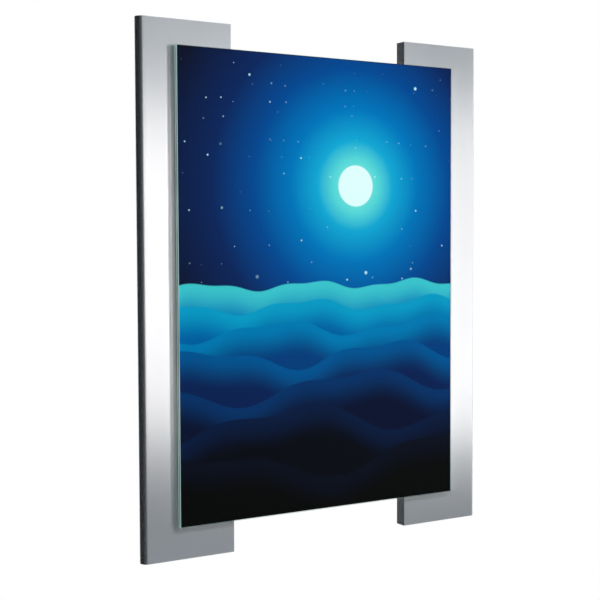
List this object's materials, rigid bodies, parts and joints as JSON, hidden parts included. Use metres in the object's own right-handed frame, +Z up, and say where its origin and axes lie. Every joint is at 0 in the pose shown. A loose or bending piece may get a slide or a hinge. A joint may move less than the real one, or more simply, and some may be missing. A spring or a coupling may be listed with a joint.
{
  "type": "wall poster pocket with rails",
  "caption": "Wall poster pocket: clear front and back sheets hold a sliding upright print, carried on flat anodised aluminium rails with hidden keyhole hangers.",
  "frame": {"origin": "on the wall plane, at the back of the rails, midway between them and at half their height", "axes": "+X to the right seen from the front, +Y into the wall, +Z up along the rails"},
  "size_m": [0.366, 0.0177, 0.472],
  "materials": {
    "rail_aluminium": "satin",
    "cap_plastic": "matte",
    "clear_acrylic": "gloss",
    "clear_strip": "satin",
    "printed_paper": "satin",
    "stainless_screw": "satin",
    "zinc_hanger": "satin",
    "black_grub_screw": "satin"
  },
  "bodies": {
    "display": {"left_rail": "rail_aluminium", "right_rail": "rail_aluminium", "left_top_end_cap": "cap_plastic", "left_bottom_end_cap": "cap_plastic", "right_top_end_cap": "cap_plastic", "right_bottom_end_cap": "cap_plastic", "back_sheet": "clear_acrylic", "front_sheet": "clear_acrylic", "left_spacer_strip": "clear_strip", "right_spacer_strip": "clear_strip", "bottom_spacer_strip": "clear_strip", "left_top_panel_screw": "stainless_screw", "left_middle_panel_screw": "stainless_screw", "left_bottom_panel_screw": "stainless_screw", "right_top_panel_screw": "stainless_screw", "right_middle_panel_screw": "stainless_screw", "right_bottom_panel_screw": "stainless_screw", "left_upper_hanger": "zinc_hanger", "left_lower_hanger": "zinc_hanger", "right_upper_hanger": "zinc_hanger", "right_lower_hanger": "zinc_hanger", "left_upper_hanger_inner_grub_screw": "black_grub_screw", "left_upper_hanger_outer_grub_screw": "black_grub_screw", "left_lower_hanger_inner_grub_screw": "black_grub_screw", "left_lower_hanger_outer_grub_screw": "black_grub_screw", "right_upper_hanger_inner_grub_screw": "black_grub_screw", "right_upper_hanger_outer_grub_screw": "black_grub_screw", "right_lower_hanger_inner_grub_screw": "black_grub_screw", "right_lower_hanger_outer_grub_screw": "black_grub_screw"},
    "print": {"poster_print": "printed_paper"}
  },
  "joints": [
    {"name": "print_slide", "type": "slide", "parent": "display", "child": "print", "axis": [0, 0, 1], "range_m": [0, 0.42]}
  ]
}
